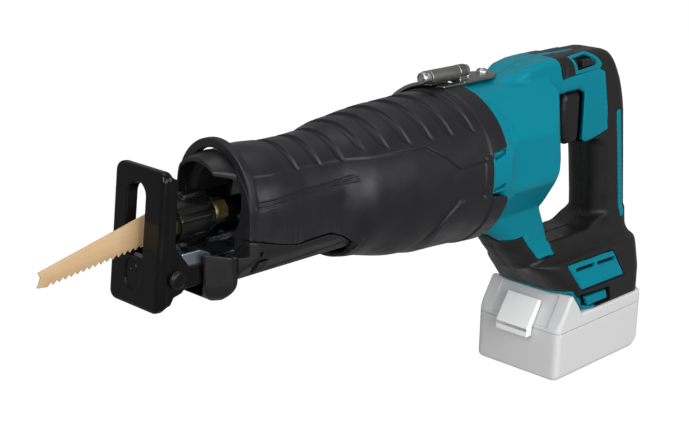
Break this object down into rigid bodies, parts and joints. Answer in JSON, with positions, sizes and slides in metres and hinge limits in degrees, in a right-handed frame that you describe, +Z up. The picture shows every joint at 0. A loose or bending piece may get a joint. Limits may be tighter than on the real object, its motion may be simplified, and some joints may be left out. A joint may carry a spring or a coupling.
{
  "type": "cordless reciprocating saw",
  "caption": "Cordless reciprocating saw with a tilting shoe, quick-release blade clamp, closed D handle with trigger, storage hook and slide-on battery pack.",
  "frame": {"origin": "centre of the battery pack's flat bottom", "axes": "+X from the blade to the handle, +Y to the saw's right seen from behind the handle, +Z up"},
  "size_m": [0.531, 0.1026, 0.242],
  "materials": {
    "boot_rubber": "satin, finely grained",
    "black_plastic": "matt, grained",
    "black_metal": "semi-gloss black",
    "steel": "machined",
    "zinc_steel": "zinc plated",
    "blade_tan": "tan coated steel",
    "gold_metal": "yellow passivated",
    "aluminium": "die cast",
    "copper": "enamelled copper wire",
    "seal_rubber": "matt",
    "teal_plastic": "satin teal",
    "pack_grey": "satin pale grey",
    "pack_white": "satin off-white",
    "cell_wrap": "shrink wrap",
    "board_green": "lacquered board"
  },
  "bodies": {
    "saw_body": {"front_boot": "boot_rubber", "nose_guard": "black_plastic", "lower_cover": "black_plastic", "cover_screws": "steel", "stay_guide": "steel", "gear_case": "aluminium", "slider_bush": "gold_metal", "slider_seal": "seal_rubber", "bearing_plate": "aluminium", "crank_bearings": "steel", "stator_core": "steel", "stator_coils": "copper", "rotor_bearings": "steel", "housing_left": "teal_plastic", "housing_right": "teal_plastic", "grip_left": "black_plastic", "grip_right": "black_plastic", "vent_panel_left": "teal_plastic", "vent_panel_right": "teal_plastic", "housing_screws": "steel", "trigger_switch": "black_plastic", "controller": "black_plastic", "terminal_block": "black_plastic", "hook_bracket": "steel", "hook_bolt": "steel", "hook_screws": "steel"},
    "crank": {"crank_shaft": "steel", "crank_gear": "steel", "crank_pin": "steel", "crank_roller": "gold_metal"},
    "rotor": {"rotor_shaft": "steel", "rotor_magnets": "steel", "cooling_fan": "black_plastic"},
    "slider": {"slider_shaft": "steel", "slider_yoke": "steel", "clamp_holder": "steel", "clamp_collar": "gold_metal"},
    "sleeve": {"clamp_sleeve": "black_metal"},
    "saw_blade": {"blade": "blade_tan"},
    "stay": {"shoe_stay": "zinc_steel", "stay_bracket": "black_metal", "shoe_pin": "black_metal"},
    "shoe_plate": {"shoe": "black_metal"},
    "shoe_lock": {"shoe_lock_button": "black_plastic"},
    "trigger_body": {"trigger": "black_plastic"},
    "lock_off": {"lock_off_button": "black_plastic"},
    "mode_key": {"mode_button": "teal_plastic"},
    "hook": {"hook_arm": "zinc_steel"},
    "battery": {"pack_lower": "pack_grey", "pack_upper": "pack_grey", "pack_cells": "cell_wrap", "pack_board": "board_green", "pack_screws": "steel"},
    "pack_release": {"pack_button": "pack_white"}
  },
  "joints": [
    {"name": "crank_spin", "type": "hinge", "parent": "saw_body", "child": "crank", "pos_m": [-0.215, 0, 0.16], "axis": [0, 0, 1], "continuous": true},
    {"name": "rotor_spin", "type": "hinge", "parent": "saw_body", "child": "rotor", "pos_m": [-0.115, 0, 0.18], "axis": [1, 0, 0], "continuous": true},
    {"name": "slider_stroke", "type": "slide", "parent": "saw_body", "child": "slider", "axis": [1, 0, 0], "range_m": [-0.008, 0.024]},
    {"name": "clamp_sleeve_turn", "type": "hinge", "parent": "slider", "child": "sleeve", "pos_m": [-0.371, 0, 0.185], "axis": [1, 0, 0], "range_deg": [0, 60], "stiffness_Nm_per_rad": 0.05},
    {"name": "blade_pull", "type": "slide", "parent": "slider", "child": "saw_blade", "axis": [-1, 0, 0], "range_m": [0, 0.03]},
    {"name": "stay_slide", "type": "slide", "parent": "saw_body", "child": "stay", "axis": [-1, 0, 0], "range_m": [0, 0.024]},
    {"name": "shoe_tilt", "type": "hinge", "parent": "stay", "child": "shoe_plate", "pos_m": [-0.396, 0, 0.16], "axis": [0, 1, 0], "range_deg": [-25, 5]},
    {"name": "shoe_lock_push", "type": "slide", "parent": "saw_body", "child": "shoe_lock", "axis": [0, 1, 0], "range_m": [0, 0.003], "stiffness_N_per_m": 800},
    {"name": "trigger_pull", "type": "slide", "parent": "saw_body", "child": "trigger_body", "axis": [1, 0, 0], "range_m": [0, 0.007], "stiffness_N_per_m": 800},
    {"name": "lock_off_push", "type": "slide", "parent": "saw_body", "child": "lock_off", "axis": [0, 1, 0], "range_m": [0, 0.004]},
    {"name": "mode_button_press", "type": "slide", "parent": "saw_body", "child": "mode_key", "axis": [0, 1, 0], "range_m": [0, 0.001], "stiffness_N_per_m": 1500},
    {"name": "hook_swing", "type": "hinge", "parent": "saw_body", "child": "hook", "pos_m": [-0.15, 0.001, 0.2373], "axis": [1, 0, 0], "range_deg": [0, 110]},
    {"name": "battery_slide", "type": "slide", "parent": "saw_body", "child": "battery", "axis": [-1, 0, 0], "range_m": [0, 0.095]},
    {"name": "pack_button_press", "type": "slide", "parent": "battery", "child": "pack_release", "axis": [-0.5237, 0, -0.8519], "range_m": [0, 0.003], "stiffness_N_per_m": 1000}
  ],
  "couplings": [
    {"joint": "rotor_spin", "follows": "crank_spin", "ratio": 4}
  ]
}
